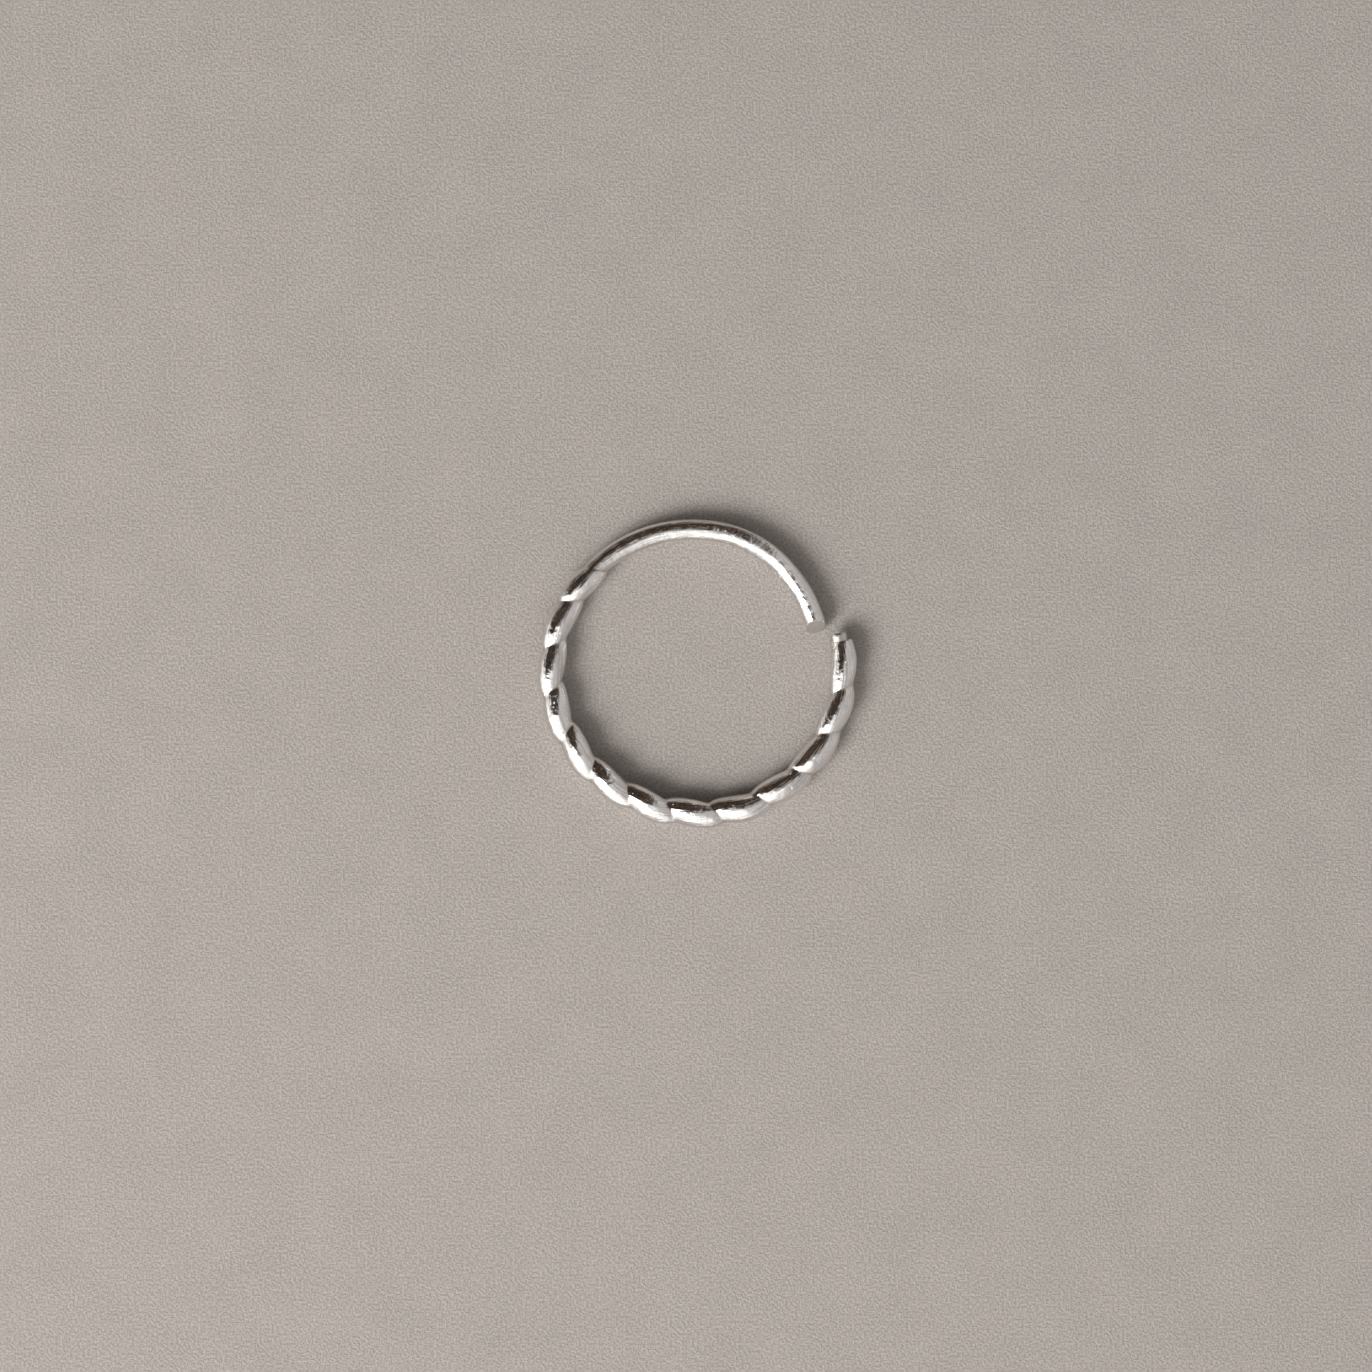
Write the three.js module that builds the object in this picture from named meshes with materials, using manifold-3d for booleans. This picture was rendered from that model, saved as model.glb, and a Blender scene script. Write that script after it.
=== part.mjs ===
// A small open silver hoop for the nose, cast in one piece: plain round wire on one side, and
// slanted lobes round the rest. It lies flat. Millimetres, +Z up.
import * as THREE from 'three';
import { mergeVertices } from 'three/addons/utils/BufferGeometryUtils.js';
import Module from 'manifold-3d';

// ---- Driving dimensions -------------------------------------------------------------------

const WIRE_RADIUS = 0.32; // plain round wire, 22 gauge
const PLAIN_LENGTH = 8.87; // from the last lobe to the tip of the cut end
const CUT_BEVEL_DEG = 30; // the cut end faces forward and this much upward

const STUB = { radius: 0.255, length: 0.26 }; // the core, standing out of the first lobe
const ROOT_LENGTH = 0.4; // how far the stub runs on inside the first lobe

const LOBES = {
  crestRadius: 0.43, // at both ends of the row
  midCrestRadius: 0.47, // half way along it
  grooveRadius: 0.315,
  slantDeg: 36, // how far a groove leans from square across the wire, seen from above
  crestAt: 0.45, // where the crest lies between a lobe's two grooves, at 0 and 1
  fullness: 0.6, // 2 is a plain wave; less swells a lobe out between narrower grooves
  // Each lobe's length along the wire, from the flat end of the row. They are hand worked.
  lengths: [1.51, 1.45, 1.48, 1.48, 1.46, 1.44, 1.41, 1.39, 1.4, 1.41, 1.41, 1.43, 1.24],
};

// The hand-bent line that the middle of the wire follows. Turn goes clockwise from +X, in
// degrees; radius is from the hoop's middle. The last rows bring the free end inwards.
const CENTRELINE = [
  { turn: -25, radius: 4.69 },
  { turn: -3, radius: 4.57 },
  { turn: 16, radius: 4.49 },
  { turn: 40, radius: 4.43 },
  { turn: 70, radius: 4.36 },
  { turn: 95, radius: 4.3 },
  { turn: 115, radius: 4.31 },
  { turn: 140, radius: 4.39 },
  { turn: 170, radius: 4.5 },
  { turn: 200, radius: 4.55 },
  { turn: 230, radius: 4.58 },
  { turn: 255, radius: 4.565 },
  { turn: 280, radius: 4.51 },
  { turn: 300, radius: 4.395 },
  { turn: 320, radius: 4.19 },
  { turn: 335, radius: 4.03 },
  { turn: 355, radius: 3.86 },
];
const LEAD = 0.96; // from the first row to the flat end of the first lobe

const SIDES = 16; // flats around the wire
const STEPS_PER_LOBE = 9;
const PLAIN_STEPS = 20;
const FADE_STEPS = 3; // plain steps over which the grooves' slant dies away

// ---- The middle line of the wire ----------------------------------------------------------

const path = new THREE.CatmullRomCurve3(
  CENTRELINE.map(({ turn, radius }) => {
    const angle = THREE.MathUtils.degToRad(-turn);
    return new THREE.Vector3(radius * Math.cos(angle), radius * Math.sin(angle), 0);
  }),
);
path.arcLengthDivisions = 2000;
const pathLength = path.getLength();
const lobesStart = LEAD;
const lobesLength = LOBES.lengths.reduce((sum, length) => sum + length, 0);
const lobesEnd = lobesStart + lobesLength;
const wireEnd = lobesEnd + PLAIN_LENGTH;

// Axes at a distance along the path: x out of the hoop, y back along the wire, z up.
function frameAt(along) {
  const u = THREE.MathUtils.clamp(along / pathLength, 0, 1);
  const back = path.getTangentAt(u).negate();
  const up = new THREE.Vector3(0, 0, 1);
  const out = new THREE.Vector3().crossVectors(back, up);
  return new THREE.Matrix4().makeBasis(out, back, up).setPosition(path.getPointAt(u));
}

// ---- The skin of the wire, as rings at stations along it -----------------------------------

function slope(degrees) {
  return Math.tan(THREE.MathUtils.degToRad(degrees));
}

// Radius of the lobes: `phase` runs from 0 at one groove to 1 at the next, and `share` from 0
// to 1 along the whole row.
function lobeRadius(phase, share) {
  const { crestAt, crestRadius, midCrestRadius, grooveRadius, fullness } = LOBES;
  const side = phase < crestAt ? phase / crestAt : (1 - phase) / (1 - crestAt);
  const swell = Math.sin((side * Math.PI) / 2) ** fullness;
  const crest = THREE.MathUtils.lerp(crestRadius, midCrestRadius, Math.sin(share * Math.PI));
  return THREE.MathUtils.lerp(grooveRadius, crest, swell);
}

// Stations run from the flat end of the first lobe to the wire end. A ring leans back by
// `lean` for each millimetre out, and the last one by `bevel` for each millimetre up.
function listStations() {
  const lean = slope(LOBES.slantDeg);
  const stations = [];
  let grooveAt = lobesStart;
  for (const length of LOBES.lengths) {
    for (let step = 0; step < STEPS_PER_LOBE; step += 1) {
      const phase = step / STEPS_PER_LOBE;
      const along = grooveAt + phase * length;
      const radius = lobeRadius(phase, (along - lobesStart) / lobesLength);
      stations.push({ along, radius, lean, bevel: 0 });
    }
    grooveAt += length;
  }
  for (let step = 0; step <= PLAIN_STEPS; step += 1) {
    const along = THREE.MathUtils.lerp(lobesEnd, wireEnd, step / PLAIN_STEPS);
    const fade = Math.max(0, 1 - step / FADE_STEPS);
    const radius = THREE.MathUtils.lerp(WIRE_RADIUS, LOBES.grooveRadius, fade);
    const bevel = step === PLAIN_STEPS ? slope(CUT_BEVEL_DEG) : 0;
    stations.push({ along, radius, lean: lean * fade, bevel });
  }
  return stations;
}

// A cylinder whose rings are moved to the stations, and so bent round the hoop. What would
// reach back past the flat end is held in its plane.
function bendWire(stations) {
  const rows = stations.length - 1;
  const geometry = new THREE.CylinderGeometry(1, 1, rows, SIDES, rows);
  const position = geometry.attributes.position;
  const vertex = new THREE.Vector3();
  for (let i = 0; i < position.count; i += 1) {
    vertex.fromBufferAttribute(position, i);
    const { along, radius, lean, bevel } = stations[Math.round(rows / 2 - vertex.y)];
    const out = vertex.x * radius;
    const up = vertex.z * radius;
    const back = lean * out + bevel * (up + radius);
    if (along - back < lobesStart) vertex.set(out, 0, up).applyMatrix4(frameAt(lobesStart));
    else vertex.set(out, back, up).applyMatrix4(frameAt(along));
    position.setXYZ(i, ...vertex);
  }
  return geometry;
}

// ---- Joining ------------------------------------------------------------------------------

const wasm = await Module();
wasm.setup();

function toSolid(geometry) {
  geometry.deleteAttribute('normal');
  geometry.deleteAttribute('uv');
  const merged = mergeVertices(geometry, 1e-5);
  const vertProperties = Float32Array.from(merged.attributes.position.array);
  const triVerts = Uint32Array.from(merged.index.array);
  return new wasm.Manifold(new wasm.Mesh({ numProp: 3, vertProperties, triVerts }));
}

function toGeometry(solid) {
  const { vertProperties, triVerts } = solid.getMesh();
  const geometry = new THREE.BufferGeometry();
  geometry.setAttribute('position', new THREE.BufferAttribute(vertProperties, 3));
  geometry.setIndex(new THREE.BufferAttribute(triVerts, 1));
  geometry.computeVertexNormals();
  return geometry;
}

// The filed core, standing out of the flat end of the first lobe and rooted inside it.
function makeStub() {
  const length = STUB.length + ROOT_LENGTH;
  const stub = new THREE.CylinderGeometry(STUB.radius, STUB.radius, length, SIDES);
  stub.translate(0, STUB.length - length / 2, 0);
  return stub.applyMatrix4(frameAt(lobesStart));
}

// ---- The hoop -----------------------------------------------------------------------------

function makeHoop() {
  const wire = toSolid(bendWire(listStations()));
  const geometry = toGeometry(wire.add(toSolid(makeStub())));
  geometry.computeBoundingBox();
  const { min, max } = geometry.boundingBox;
  geometry.translate(-(min.x + max.x) / 2, -(min.y + max.y) / 2, -min.z);
  const silver = new THREE.MeshStandardMaterial({
    color: 0xe6e4e0,
    roughness: 0.12,
    metalness: 1,
  });
  const hoop = new THREE.Mesh(geometry, silver);
  hoop.name = 'hoop';
  return hoop;
}

const noseRing = new THREE.Group();
noseRing.add(makeHoop());

export default noseRing;
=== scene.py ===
"""A small open silver hoop for the nose: plain round wire on one side, slanted lobes round the rest.

Everything is in metres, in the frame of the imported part; sizes in the classes are in millimetres.
"""

import logging
import math
from dataclasses import dataclass, field
from enum import Enum

import bpy
import numpy as np
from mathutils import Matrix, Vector


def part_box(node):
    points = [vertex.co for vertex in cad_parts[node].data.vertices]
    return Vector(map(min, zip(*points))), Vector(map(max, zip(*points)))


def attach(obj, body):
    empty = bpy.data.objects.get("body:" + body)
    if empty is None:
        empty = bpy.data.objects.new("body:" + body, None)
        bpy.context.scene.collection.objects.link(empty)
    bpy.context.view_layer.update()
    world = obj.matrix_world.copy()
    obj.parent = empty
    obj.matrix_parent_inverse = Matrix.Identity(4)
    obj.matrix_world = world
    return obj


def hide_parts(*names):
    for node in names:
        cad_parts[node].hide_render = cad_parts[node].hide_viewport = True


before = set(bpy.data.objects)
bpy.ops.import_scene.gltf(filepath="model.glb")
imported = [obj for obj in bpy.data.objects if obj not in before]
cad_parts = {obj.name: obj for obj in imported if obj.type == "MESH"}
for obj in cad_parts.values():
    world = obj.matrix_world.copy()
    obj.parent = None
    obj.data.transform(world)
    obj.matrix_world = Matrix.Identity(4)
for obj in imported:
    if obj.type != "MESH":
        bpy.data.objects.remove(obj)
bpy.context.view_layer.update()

MM = 0.001
LOG = logging.getLogger("nose_ring")
Array = np.ndarray
Tree = bpy.types.NodeTree
Node = bpy.types.Node
Socket = bpy.types.NodeSocket


class Zone(Enum):
    """Which way a stretch of the silver was worked."""

    POLISHED = 0.0
    CUT = 1.0


# ---- Small node helpers ---------------------------------------------------------------------


def add_node(tree: Tree, kind: str, **settings: object) -> Node:
    """Adds a shader node.

    Args:
        tree: The node tree it goes into.
        kind: The node's type name, without its "ShaderNode" start.
        settings: Properties to set on it.

    Returns:
        The new node.
    """
    node = tree.nodes.new("ShaderNode" + kind)
    for name, value in settings.items():
        setattr(node, name, value)
    return node


def feed(tree: Tree, value: object, socket: Socket) -> None:
    """Links a socket, or sets a plain value, on another socket.

    Args:
        tree: The node tree.
        value: An output socket, or a number, colour or vector.
        socket: The input that takes it.
    """
    if isinstance(value, bpy.types.NodeSocket):
        tree.links.new(value, socket)
    else:
        socket.default_value = value


def calc(tree: Tree, operation: str, *values: object, clamp: bool = False) -> Socket:
    """Adds a Math node.

    Args:
        tree: The node tree.
        operation: The Math node's operation.
        values: Its inputs, in order.
        clamp: Whether the result is held between 0 and 1.

    Returns:
        The result's socket.
    """
    node = add_node(tree, "Math", operation=operation, use_clamp=clamp)
    for value, socket in zip(values, node.inputs):
        feed(tree, value, socket)
    return node.outputs[0]


def remap(tree: Tree, value: object, low: float, high: float, to_low: float, to_high: float) -> Socket:
    """Maps a value from one range to another, smoothly, and holds it there.

    Args:
        tree: The node tree.
        value: The value that is mapped.
        low: Where the first range starts.
        high: Where the first range ends.
        to_low: What the start becomes.
        to_high: What the end becomes.

    Returns:
        The result's socket.
    """
    node = add_node(tree, "MapRange", interpolation_type="SMOOTHSTEP")
    for number, entry in enumerate((value, low, high, to_low, to_high)):
        feed(tree, entry, node.inputs[number])
    return node.outputs[0]


def blend_colours(tree: Tree, share: object, first: object, second: object, how: str = "MIX") -> Socket:
    """Mixes two colours.

    Args:
        tree: The node tree.
        share: How much of the second there is.
        first: The first colour.
        second: The second colour.
        how: The Mix node's blend type.

    Returns:
        The mixed colour's socket.
    """
    node = add_node(tree, "Mix", data_type="RGBA", blend_type=how)
    feed(tree, share, node.inputs[0])
    feed(tree, first, node.inputs[6])
    feed(tree, second, node.inputs[7])
    return node.outputs[2]


def noise(tree: Tree, place: Socket, scale: float, detail: float = 4.0, rough: float = 0.55) -> Socket:
    """Adds noise.

    Args:
        tree: The node tree.
        place: The coordinates it is read at.
        scale: Its scale.
        detail: Its number of octaves.
        rough: How strong the fine octaves are.

    Returns:
        The noise value's socket.
    """
    node = add_node(tree, "TexNoise", noise_dimensions="3D")
    feed(tree, place, node.inputs["Vector"])
    node.inputs["Scale"].default_value = scale
    node.inputs["Detail"].default_value = detail
    node.inputs["Roughness"].default_value = rough
    return node.outputs[0]


def scaled(tree: Tree, place: Socket, scale: tuple[float, float, float]) -> Socket:
    """Stretches coordinates.

    Args:
        tree: The node tree.
        place: The coordinates.
        scale: How much they are multiplied by along each axis.

    Returns:
        The stretched coordinates' socket.
    """
    node = add_node(tree, "Mapping")
    feed(tree, place, node.inputs["Vector"])
    node.inputs["Scale"].default_value = scale
    return node.outputs[0]


def new_group(name: str, inputs: dict[str, float], outputs: dict[str, str]) -> tuple[Tree, Node, Node]:
    """Starts a node group with a Vector input called Place.

    Args:
        name: The group's name.
        inputs: Its number inputs and their usual values.
        outputs: Its outputs and their kinds, Float or Color.

    Returns:
        The group, its input node and its output node.
    """
    group = bpy.data.node_groups.new(name, "ShaderNodeTree")
    group.interface.new_socket("Place", in_out="INPUT", socket_type="NodeSocketVector")
    for label, value in inputs.items():
        socket = group.interface.new_socket(label, in_out="INPUT", socket_type="NodeSocketFloat")
        socket.default_value = value
    for label, kind in outputs.items():
        group.interface.new_socket(label, in_out="OUTPUT", socket_type="NodeSocket" + kind)
    return group, group.nodes.new("NodeGroupInput"), group.nodes.new("NodeGroupOutput")


def fine_lines_group() -> Tree:
    """Builds the group for polishing lines: noise stretched along Y, in two sizes.

    Returns:
        The group. Its Lines output runs from 0 to 1, and its Specks output marks small pits.
    """
    group, start, end = new_group("fine_lines", {}, {"Lines": "Float", "Specks": "Float"})
    place = start.outputs["Place"]
    wide = noise(group, scaled(group, place, (1.0, 0.05, 1.0)), 9.0, 3.0)
    fine = noise(group, scaled(group, place, (1.0, 0.03, 1.0)), 31.0, 2.0)
    feed(group, calc(group, "ADD", calc(group, "MULTIPLY", wide, 0.6), calc(group, "MULTIPLY", fine, 0.4)),
         end.inputs["Lines"])
    feed(group, remap(group, noise(group, place, 16.0, 2.0), 0.66, 0.74, 0.0, 1.0), end.inputs["Specks"])
    return group


def grain_group() -> Tree:
    """Builds the group for a grain: cloudy noise and much finer noise, as two values.

    Returns:
        The group. Its Cloud and Grain outputs run from 0 to 1.
    """
    group, start, end = new_group("grain", {"Scale": 1.0}, {"Cloud": "Float", "Grain": "Float"})
    place = start.outputs["Place"]
    node = add_node(group, "VectorMath", operation="SCALE")
    feed(group, place, node.inputs[0])
    feed(group, start.outputs["Scale"], node.inputs["Scale"])
    feed(group, noise(group, node.outputs[0], 0.35, 5.0), end.inputs["Cloud"])
    feed(group, noise(group, node.outputs[0], 6.0, 3.0, 0.7), end.inputs["Grain"])
    return group


# ---- Finishes -------------------------------------------------------------------------------


@dataclass(frozen=True)
class Silver:
    """Bright sterling silver, polished by hand on the outside and sawn at the two ends.

    The polish leaves lines along the lobes, the grooves and the crease at the stub are painted a warm
    shade with random warm patches over it, and the cut faces are matte.
    """

    bright: tuple[float, float, float, float] = (0.93, 0.915, 0.905, 1.0)
    # warm is the colour of the painted shade in the grooves and at the stub crease, and of the random warm patches.
    warm: tuple[float, float, float, float] = (0.56, 0.49, 0.43, 1.0)
    sawn: tuple[float, float, float, float] = (0.33, 0.305, 0.29, 1.0)
    scored: tuple[float, float, float, float] = (0.60, 0.57, 0.55, 1.0)
    smooth: float = 0.05
    worn: float = 0.2
    matte: float = 0.52

    def material(self, lines: Tree, grain: Tree) -> bpy.types.Material:
        """Builds the silver.

        Args:
            lines: The polishing lines' group.
            grain: The grain's group.

        Returns:
            The material. It reads the piece's own attributes: flow (out, along and up, in
            millimetres, as if the wire were an even tube), groove and cut.
        """
        made = bpy.data.materials.new("silver_polished")
        made.use_nodes = True
        tree = made.node_tree
        shader = tree.nodes["Principled BSDF"]
        flow = add_node(tree, "Attribute", attribute_name="flow").outputs["Vector"]
        groove = add_node(tree, "Attribute", attribute_name="groove").outputs["Fac"]
        cut = add_node(tree, "Attribute", attribute_name="cut").outputs["Fac"]
        place = scaled(tree, add_node(tree, "TexCoord").outputs["Object"], (1000.0, 1000.0, 1000.0))

        polish = add_node(tree, "Group", node_tree=lines)
        feed(tree, flow, polish.inputs["Place"])
        body = add_node(tree, "Group", node_tree=grain)
        feed(tree, place, body.inputs["Place"])
        body.inputs["Scale"].default_value = 5.0
        cloud, fine = body.outputs["Cloud"], body.outputs["Grain"]

        patch = remap(tree, noise(tree, place, 2.6, 5.0, 0.6), 0.5, 0.72, 0.0, 1.0)
        # Painted shade: the grooves and the crease at the stub are mixed towards warm, mottled by the cloud; random
        # warm patches are added on top.
        groove_shade_and_tarnish = calc(tree, "MULTIPLY", calc(tree, "MULTIPLY", groove, groove), remap(tree, cloud, 0.3, 0.7, 0.35, 0.9))
        groove_shade_and_tarnish = calc(tree, "ADD", groove_shade_and_tarnish, calc(tree, "MULTIPLY", patch, 0.16), clamp=True)
        streak = remap(tree, polish.outputs["Lines"], 0.46, 0.60, 0.0, 0.6)
        colour = blend_colours(tree, streak, self.bright, self.scored)
        colour = blend_colours(tree, groove_shade_and_tarnish, colour, self.warm)
        colour = blend_colours(tree, cut, colour, blend_colours(tree, fine, self.sawn, self.scored))
        feed(tree, colour, shader.inputs["Base Color"])

        rough = calc(tree, "ADD", self.smooth, calc(tree, "MULTIPLY", groove_shade_and_tarnish, self.worn))
        rough = calc(tree, "ADD", rough, calc(tree, "MULTIPLY", polish.outputs["Specks"], 0.1))
        rough = calc(tree, "ADD", rough, calc(tree, "MULTIPLY", polish.outputs["Lines"], 0.04))
        mix = add_node(tree, "Mix", data_type="FLOAT")
        feed(tree, cut, mix.inputs[0])
        feed(tree, rough, mix.inputs[2])
        feed(tree, self.matte, mix.inputs[3])
        feed(tree, mix.outputs[0], shader.inputs["Roughness"])
        shader.inputs["Metallic"].default_value = 1.0

        height = calc(tree, "MULTIPLY", polish.outputs["Lines"], 0.022)
        height = calc(tree, "ADD", height, calc(tree, "MULTIPLY", noise(tree, place, 3.4, 3.0), 0.03))
        height = calc(tree, "SUBTRACT", height, calc(tree, "MULTIPLY", polish.outputs["Specks"], 0.004))
        height = calc(tree, "ADD", height, calc(tree, "MULTIPLY", calc(tree, "MULTIPLY", fine, cut), 0.02))
        bump = add_node(tree, "Bump")
        bump.inputs["Strength"].default_value = 1.0
        bump.inputs["Distance"].default_value = MM
        feed(tree, height, bump.inputs["Height"])
        feed(tree, bump.outputs[0], shader.inputs["Normal"])
        return made


@dataclass(frozen=True)
class Paper:
    """Uncoated taupe-grey card with a fine felted grain."""

    light: tuple[float, float, float, float] = (0.455, 0.42, 0.394, 1.0)
    dark: tuple[float, float, float, float] = (0.265, 0.243, 0.228, 1.0)

    def material(self, grain: Tree) -> bpy.types.Material:
        """Builds the card.

        Args:
            grain: The grain's group.

        Returns:
            The material.
        """
        made = bpy.data.materials.new("paper_taupe")
        made.use_nodes = True
        tree = made.node_tree
        shader = tree.nodes["Principled BSDF"]
        place = scaled(tree, add_node(tree, "TexCoord").outputs["Object"], (1000.0, 1000.0, 1000.0))
        felt = add_node(tree, "Group", node_tree=grain)
        feed(tree, place, felt.inputs["Place"])
        felt.inputs["Scale"].default_value = 1.6
        speck = remap(tree, noise(tree, place, 13.0, 2.0, 0.7), 0.32, 0.68, 0.0, 1.0)
        tone = calc(tree, "ADD", calc(tree, "MULTIPLY", speck, 0.7), calc(tree, "MULTIPLY", felt.outputs["Cloud"], 0.3))
        feed(tree, blend_colours(tree, tone, self.dark, self.light), shader.inputs["Base Color"])
        feed(tree, remap(tree, felt.outputs["Grain"], 0.3, 0.7, 0.82, 0.96), shader.inputs["Roughness"])
        shader.inputs["Specular IOR Level"].default_value = 0.2
        bump = add_node(tree, "Bump")
        bump.inputs["Strength"].default_value = 0.6
        bump.inputs["Distance"].default_value = 0.022 * MM
        feed(tree, calc(tree, "ADD", felt.outputs["Grain"], speck), bump.inputs["Height"])
        feed(tree, bump.outputs[0], shader.inputs["Normal"])
        return made


# ---- The hoop -------------------------------------------------------------------------------


@dataclass
class BentLine:
    """The hand-bent line that the middle of the wire follows.

    Each row is a turn, clockwise from +X in degrees, and a radius in millimetres.
    """

    rows: tuple[tuple[float, float], ...] = (
        (-25, 4.69), (-3, 4.57), (16, 4.49), (40, 4.43), (70, 4.36), (95, 4.3), (115, 4.31),
        (140, 4.39), (170, 4.5), (200, 4.55), (230, 4.58), (255, 4.565), (280, 4.51),
        (300, 4.395), (320, 4.19), (335, 4.03), (355, 3.86),
    )
    fineness: int = 400
    lengths: Array = field(init=False)
    points: Array = field(init=False)

    def __post_init__(self) -> None:
        """Works out the line: a centripetal Catmull-Rom spline through the rows.

        Between two rows the point is a cubic whose end slopes are the chord slopes of the three
        neighbouring spans, each weighted by the square root of its length.
        """
        turn, radius = np.radians(-np.array(self.rows)[:, 0]), np.array(self.rows)[:, 1]
        knots = np.stack([radius * np.cos(turn), radius * np.sin(turn)], axis=1)
        knots = np.vstack([2 * knots[0] - knots[1], knots, 2 * knots[-1] - knots[-2]])
        a, b, c, d = knots[:-3], knots[1:-2], knots[2:-1], knots[3:]
        u, v, w = (np.sqrt(np.linalg.norm(q - p, axis=1))[:, None] for p, q in ((a, b), (b, c), (c, d)))
        leave = ((b - a) / u - (c - a) / (u + v) + (c - b) / v) * v
        reach = ((c - b) / v - (d - b) / (v + w) + (d - c) / w) * v
        t = np.linspace(0, 1, self.fineness, endpoint=False)[None, :, None]
        b, c, leave, reach = (k[:, None, :] for k in (b, c, leave, reach))
        curve = b + leave * t + (3 * (c - b) - 2 * leave - reach) * t**2 + (2 * (b - c) + leave + reach) * t**3
        self.points = np.vstack([curve.reshape(-1, 2), knots[-2]])
        steps = np.linalg.norm(np.diff(self.points, axis=0), axis=1)
        self.lengths = np.concatenate([[0.0], np.cumsum(steps)])

    def at(self, along: Array) -> tuple[Array, Array, Array]:
        """Gives the line's place and directions.

        Args:
            along: Distances from its first row, in millimetres.

        Returns:
            The points, the directions out of the hoop and the directions back along the line.
        """
        point = np.stack([np.interp(along, self.lengths, self.points[:, k]) for k in (0, 1)], axis=-1)
        ahead, behind = (
            np.stack([np.interp(along + s, self.lengths, self.points[:, k]) for k in (0, 1)], axis=-1)
            for s in (0.02, -0.02)
        )
        back = behind - ahead
        back /= np.linalg.norm(back, axis=-1, keepdims=True)
        out = np.stack([back[..., 1], -back[..., 0]], axis=-1)
        flat = np.zeros(point.shape[:-1] + (1,))
        return tuple(np.concatenate([k, flat], axis=-1) for k in (point, out, back))


@dataclass
class Hoop:
    """The one-piece hoop: a filed stub, thirteen slanted lobes, and plain wire to the cut end."""

    line: BentLine
    lead: float = 0.96
    wire_radius: float = 0.32
    plain_length: float = 8.87
    bevel_deg: float = 30.0
    bevel_run: float = 1.2
    stub_radius: float = 0.255
    stub_length: float = 0.26
    crest_radius: float = 0.43
    mid_crest_radius: float = 0.47
    groove_radius: float = 0.31
    slant_deg: float = 36.0
    crest_at: float = 0.48
    fullness: float = 0.66
    fillet_steps: float = 1.8
    flow_radius: float = 0.4
    lobe_lengths: tuple[float, ...] = (
        1.51, 1.45, 1.48, 1.48, 1.46, 1.44, 1.41, 1.39, 1.4, 1.41, 1.41, 1.43, 1.24,
    )
    sides: int = 96
    steps_per_lobe: int = 40
    plain_steps: int = 150
    cap_rings: int = 6
    name: str = "hoop_silver"

    def stations(self) -> dict[str, Array]:
        """Lists the rings of the skin, from the first lobe's flat end to the wire's cut end.

        Within a lobe the radius is groove + (crest - groove) * sin(half turn share) ** fullness.
        On the plain wire it goes from the groove's to the wire's own, and the lean dies away. Over
        the last bevel_run the rings lean back more and more, up to the cut face's slope.

        Returns:
            along, radius, lean, bevel and groove, each as an array with one entry a ring.
        """
        lean = math.tan(math.radians(self.slant_deg))
        lengths = np.array(self.lobe_lengths)
        starts = self.lead + np.concatenate([[0.0], np.cumsum(lengths)])
        phase = np.arange(self.steps_per_lobe) / self.steps_per_lobe
        along = (starts[:-1, None] + lengths[:, None] * phase).ravel()
        phase = np.tile(phase, len(lengths))
        side = np.where(phase < self.crest_at, phase / self.crest_at, (1 - phase) / (1 - self.crest_at))
        swell = np.sin(side * math.pi / 2) ** self.fullness
        share = (along - self.lead) / lengths.sum()
        crest = self.crest_radius + (self.mid_crest_radius - self.crest_radius) * np.sin(share * math.pi)
        radius = self.groove_radius + (crest - self.groove_radius) * swell
        reach = np.arange(-8, 9)
        weight = np.exp(-0.5 * (reach / self.fillet_steps) ** 2)
        radius = np.convolve(np.pad(radius, 8, mode="edge"), weight / weight.sum(), mode="valid")
        step = np.linspace(0, 1, self.plain_steps + 1)
        fade = np.clip(1 - step * self.plain_length / 1.33, 0, 1)
        to_end = (1 - step) * self.plain_length
        tip = math.tan(math.radians(self.bevel_deg)) * np.clip(1 - to_end / self.bevel_run, 0, 1)
        return {
            "along": np.concatenate([along, starts[-1] + self.plain_length * step]),
            "radius": np.concatenate([radius, self.wire_radius + (self.groove_radius - self.wire_radius) * fade]),
            "lean": np.concatenate([np.full_like(along, lean), lean * fade]),
            "bevel": np.concatenate([np.zeros_like(along), tip]),
            # The groove share later also darkens the silver's colour in the grooves, as painted shade.
            "groove": np.concatenate([np.clip(1 - swell * 1.8, 0, 1), np.clip(fade * 3 - 2, 0, 1)]),
        }

    def skin(self) -> tuple[Array, Array, Array]:
        """Works out the skin as a grid of rings by sides.

        A point is the line's place + out * r cos(a) + up * r sin(a) + back * (lean * r cos(a) +
        bevel * (r sin(a) + r)). What would reach back past the flat end is held in its plane.

        Returns:
            The points in millimetres, the flow coordinates (out, along, up, on an even tube) and the
            groove share, each with rings as its first axis and sides as its second.
        """
        ring = self.stations()
        angle = np.arange(self.sides) * 2 * math.pi / self.sides
        along, radius = ring["along"][:, None], ring["radius"][:, None]
        out, up = radius * np.cos(angle), radius * np.sin(angle)
        back = ring["lean"][:, None] * out + ring["bevel"][:, None] * (up + radius)
        held = along - back < self.lead
        spot, out_way, back_way = self.line.at(np.where(held, self.lead, along))
        back = np.where(held, 0.0, back)
        points = spot + out[..., None] * out_way + back[..., None] * back_way
        points[..., 2] += up
        flow = np.stack([self.flow_radius * np.cos(angle) + 0 * along, along - back,
                         self.flow_radius * np.sin(angle) + 0 * along], axis=-1)
        return points, flow, ring["groove"][:, None] + 0 * angle

    def disc(self, centre: Array, rim: Array, rings: int) -> Array:
        """Fills a rim: ring k is centre + (rim - centre) * k / rings, for k from 1.

        Args:
            centre: The middle of the disc.
            rim: Its rim's points.
            rings: How many rings it has, with the rim itself left out.

        Returns:
            The inner rings' points, from the middle outwards.
        """
        share = np.arange(1, rings)[:, None, None] / rings
        return centre + (rim[None] - centre) * share

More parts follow.
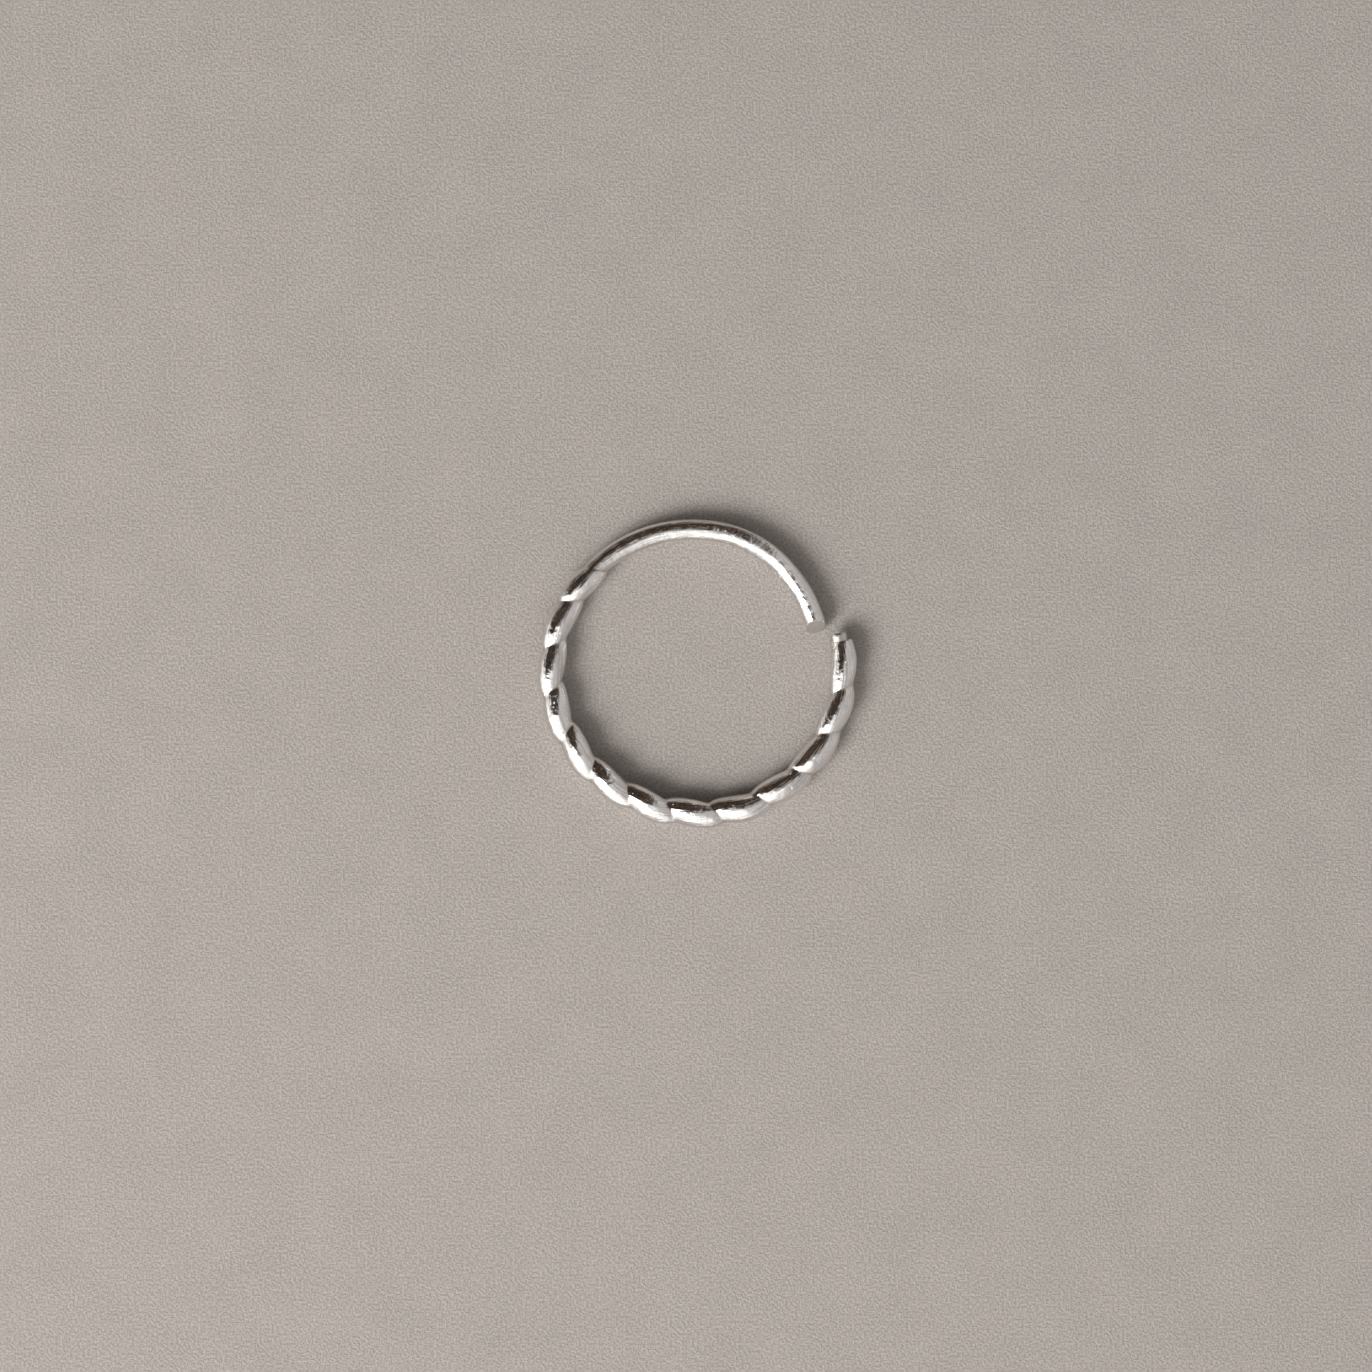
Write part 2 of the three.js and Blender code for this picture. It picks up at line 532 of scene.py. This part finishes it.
    def build(self) -> bpy.types.Object:
        """Makes the hoop's mesh: stub face, stub side, lobes and wire, cut face, in one grid.

        Returns:
            The finished object, in place.
        """
        points, flow, groove = self.skin()
        angle = np.arange(self.sides) * 2 * math.pi / self.sides
        spot, out_way, back_way = (k[0] for k in self.line.at(np.array([self.lead])))
        circle = self.stub_radius * (np.cos(angle)[:, None] * out_way + np.sin(angle)[:, None] * np.array([0, 0, 1.0]))
        edge = 0.02
        tip = spot + back_way * self.stub_length
        stub_rim = tip + circle * (1 - edge / self.stub_radius)
        deep = np.array([self.stub_length - edge, self.stub_length * 0.55, 0.02, 0.0])
        stub_side = spot + back_way * deep[:, None, None] + circle
        cap_start = self.disc(tip, stub_rim, self.cap_rings)
        cut_centre = points[-1].mean(axis=0)
        cut_rim = cut_centre + (points[-1] - cut_centre) * 0.96
        cap_end = self.disc(cut_centre, cut_rim, self.cap_rings)[::-1]
        rows = np.concatenate([cap_start, stub_rim[None], stub_side, points, cut_rim[None], cap_end])
        before, after = len(cap_start) + 1 + len(stub_side), 1 + len(cap_end)

        rings, sides = rows.shape[:2]
        body = rows.reshape(-1, 3)
        first, last = len(body), len(body) + 1
        coords = np.vstack([body, tip, cut_centre]) * MM
        index = np.arange(rings * sides).reshape(rings, sides)
        here, over = index[:-1], index[1:]
        quads = np.stack([here, np.roll(here, -1, 1), np.roll(over, -1, 1), over], axis=-1).reshape(-1, 4)
        fan_a = np.stack([np.full(sides, first), np.roll(index[0], -1), index[0]], axis=-1)
        fan_b = np.stack([np.full(sides, last), index[-1], np.roll(index[-1], -1)], axis=-1)
        mesh = bpy.data.meshes.new(self.name)
        mesh.from_pydata(coords.tolist(), [], quads.tolist() + fan_a.tolist() + fan_b.tolist())

        pad = lambda grid, head, tail: np.concatenate(
            [np.repeat(grid[:1], before, 0) * 0 + head, grid, np.repeat(grid[-1:], after, 0) * 0 + tail]
        )
        ends = Zone.CUT.value
        cut = pad(np.zeros_like(groove), 0.0, ends)
        cut[:before] = 0.4
        self._store(mesh, "cut", np.append(cut.ravel(), [0.35, ends]), "FLOAT")
        # Painted shade mask: the groove share, a little on the stub, and a strong band at the crease where the stub
        # meets the first lobe.
        dark = pad(groove, 0.1, 0.0)
        dark[before - 2: before + 1] = 0.9
        self._store(mesh, "groove", np.append(dark.ravel(), [0.0, 0.0]), "FLOAT")
        path = np.concatenate([rows[:before] * 1.0, flow, rows[-after:]])
        self._store(mesh, "flow", np.append(path.ravel(), [tip, cut_centre]), "FLOAT_VECTOR")
        mesh.validate()
        mesh.update()
        hoop = bpy.data.objects.new(self.name, mesh)
        bpy.context.scene.collection.objects.link(hoop)
        self._face_out(mesh)
        self._settle(mesh)
        mesh.polygons.foreach_set("use_smooth", np.ones(len(mesh.polygons), bool))
        mesh.set_sharp_from_angle(angle=math.radians(50))
        return hoop

    def _store(self, mesh: bpy.types.Mesh, name: str, values: Array, kind: str) -> None:
        """Puts an attribute on the points.

        Args:
            mesh: The mesh.
            name: The attribute's name.
            values: Its values, flat.
            kind: Its data type.
        """
        layer = mesh.attributes.new(name, kind, "POINT")
        layer.data.foreach_set("vector" if kind == "FLOAT_VECTOR" else "value", values.astype(np.float32))

    def _face_out(self, mesh: bpy.types.Mesh) -> None:
        """Flips the mesh if its volume, the sum of its signed tetrahedra, is below zero.

        Args:
            mesh: The closed mesh.
        """
        mesh.calc_loop_triangles()
        corners = np.zeros(len(mesh.loop_triangles) * 3, np.int32)
        mesh.loop_triangles.foreach_get("vertices", corners)
        coords = np.zeros(len(mesh.vertices) * 3, np.float32)
        mesh.vertices.foreach_get("co", coords)
        a, b, c = np.moveaxis(coords.reshape(-1, 3).astype(float)[corners.reshape(-1, 3)], 1, 0)
        if np.einsum("ij,ij->i", a, np.cross(b, c)).sum() < 0:
            mesh.flip_normals()

    def _settle(self, mesh: bpy.types.Mesh) -> None:
        """Moves the points so that the hoop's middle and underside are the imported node's.

        Args:
            mesh: The mesh.
        """
        low, high = (np.array(corner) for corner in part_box("hoop"))
        coords = np.zeros(len(mesh.vertices) * 3, np.float32)
        mesh.vertices.foreach_get("co", coords)
        coords = coords.reshape(-1, 3)
        shift = (low + high) / 2 - (coords.min(0) + coords.max(0)) / 2
        shift[2] = low[2] - coords[:, 2].min()
        mesh.vertices.foreach_set("co", (coords + shift).astype(np.float32).ravel())
        mesh.update()


# ---- The studio -----------------------------------------------------------------------------


@dataclass
class Studio:
    """A pale card to lie on, one large soft light to the lower left, and soft surroundings."""

    paper_half: float = 0.15
    key_watts: float = 1.08
    key_size: float = 0.17
    key_distance: float = 0.32
    key_azimuth: float = 222.0
    key_elevation: float = 40.0
    surroundings: float = 0.6
    lens: float = 100.0
    sensor: float = 36.0
    view_width: float = 42.94
    aim: tuple[float, float] = (-0.354, -0.38)

    def lay_paper(self, material: bpy.types.Material) -> None:
        """Lays the card under the hoop, as one flat square.

        Args:
            material: The card's material.
        """
        half = self.paper_half
        mesh = bpy.data.meshes.new("paper")
        mesh.from_pydata([(-half, -half, 0), (half, -half, 0), (half, half, 0), (-half, half, 0)], [], [(0, 1, 2, 3)])
        mesh.materials.append(material)
        paper = bpy.data.objects.new("paper", mesh)
        paper.location.z = -0.00001
        bpy.context.scene.collection.objects.link(paper)

    def hang_key(self) -> None:
        """Hangs the large soft light, facing the hoop."""
        light = bpy.data.lights.new("key_softbox", "AREA")
        light.shape = "DISK"
        light.size = self.key_size
        light.energy = self.key_watts
        light.color = (1.0, 0.985, 0.965)
        azimuth, elevation = math.radians(self.key_azimuth), math.radians(self.key_elevation)
        way = Vector((math.cos(azimuth) * math.cos(elevation), math.sin(azimuth) * math.cos(elevation), math.sin(elevation)))
        lamp = bpy.data.objects.new("key_softbox", light)
        lamp.location = way * self.key_distance
        lamp.rotation_euler = way.to_track_quat("Z", "Y").to_euler()
        bpy.context.scene.collection.objects.link(lamp)

    def surround(self) -> None:
        """Sets the surroundings: light grey, white to the lower left, dark above and to the upper left.

        Each region is the cosine between the direction and the region's middle, passed through a
        smooth step.
        """
        world = bpy.data.worlds.new("studio_surroundings")
        bpy.context.scene.world = world
        world.use_nodes = True
        tree = world.node_tree
        way = add_node(tree, "TexCoord").outputs["Generated"]

        def toward(azimuth: float, elevation: float, narrow: float, wide: float) -> Socket:
            """Gives 1 near a direction and 0 away from it.

            Args:
                azimuth: The direction's azimuth in degrees.
                elevation: Its height in degrees.
                narrow: The angle within which it is 1, in degrees.
                wide: The angle beyond which it is 0, in degrees.

            Returns:
                The region's socket.
            """
            a, e = math.radians(azimuth), math.radians(elevation)
            dot = add_node(tree, "VectorMath", operation="DOT_PRODUCT")
            feed(tree, way, dot.inputs[0])
            dot.inputs[1].default_value = (math.cos(a) * math.cos(e), math.sin(a) * math.cos(e), math.sin(e))
            return remap(tree, dot.outputs["Value"], math.cos(math.radians(wide)), math.cos(math.radians(narrow)), 0.0, 1.0)

        grey = (0.95, 0.92, 0.905, 1.0)
        dim = (0.62, 0.59, 0.57, 1.0)
        black = (0.022, 0.017, 0.014, 1.0)
        brown = (0.34, 0.235, 0.17, 1.0)
        white = (2.3, 2.26, 2.2, 1.0)
        clutter = remap(tree, noise(tree, way, 9.0, 6.0, 0.7), 0.47, 0.66, 0.0, 1.0)
        shade = blend_colours(tree, clutter, black, brown)
        haze = remap(tree, noise(tree, way, 4.0, 4.0, 0.6), 0.38, 0.62, 0.0, 1.0)
        colour = blend_colours(tree, haze, grey, dim)
        colour = blend_colours(tree, toward(221, 18, 40, 84), colour, white)
        colour = blend_colours(tree, toward(126, 44, 42, 47), colour, shade)
        colour = blend_colours(tree, toward(98, 22, 36, 43), colour, shade)
        colour = blend_colours(tree, toward(150, 82, 9, 13), colour, shade)
        feed(tree, colour, tree.nodes["Background"].inputs["Color"])
        tree.nodes["Background"].inputs["Strength"].default_value = self.surroundings

    def place_camera(self) -> None:
        """Hangs the camera straight above, so that its width takes in view_width at the hoop."""
        data = bpy.data.cameras.new("camera")
        data.lens = self.lens
        data.sensor_width = self.sensor
        data.clip_start = 0.002
        data.clip_end = 5.0
        camera = bpy.data.objects.new("camera", data)
        height = self.view_width * MM * self.lens / self.sensor
        camera.location = (self.aim[0] * MM, self.aim[1] * MM, height)
        bpy.context.scene.collection.objects.link(camera)
        bpy.context.scene.camera = camera


def main() -> None:
    """Builds the hoop, dresses it, sets up the studio and reports each piece."""
    logging.basicConfig(level=logging.INFO, format="%(name)s: %(message)s")
    lines, grain = fine_lines_group(), grain_group()
    bpy.context.scene.view_settings.view_transform = "Standard"
    studio = Studio()
    studio.place_camera()
    hoop = Hoop(BentLine()).build()
    hoop.data.materials.append(Silver().material(lines, grain))
    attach(hoop, "root")
    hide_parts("hoop")
    LOG.info("%s: %d faces", hoop.name, len(hoop.data.polygons))
    studio.lay_paper(Paper().material(grain))
    studio.hang_key()
    studio.surround()
    LOG.info("studio: paper, key light and surroundings")


if __name__ == "__main__":
    main()
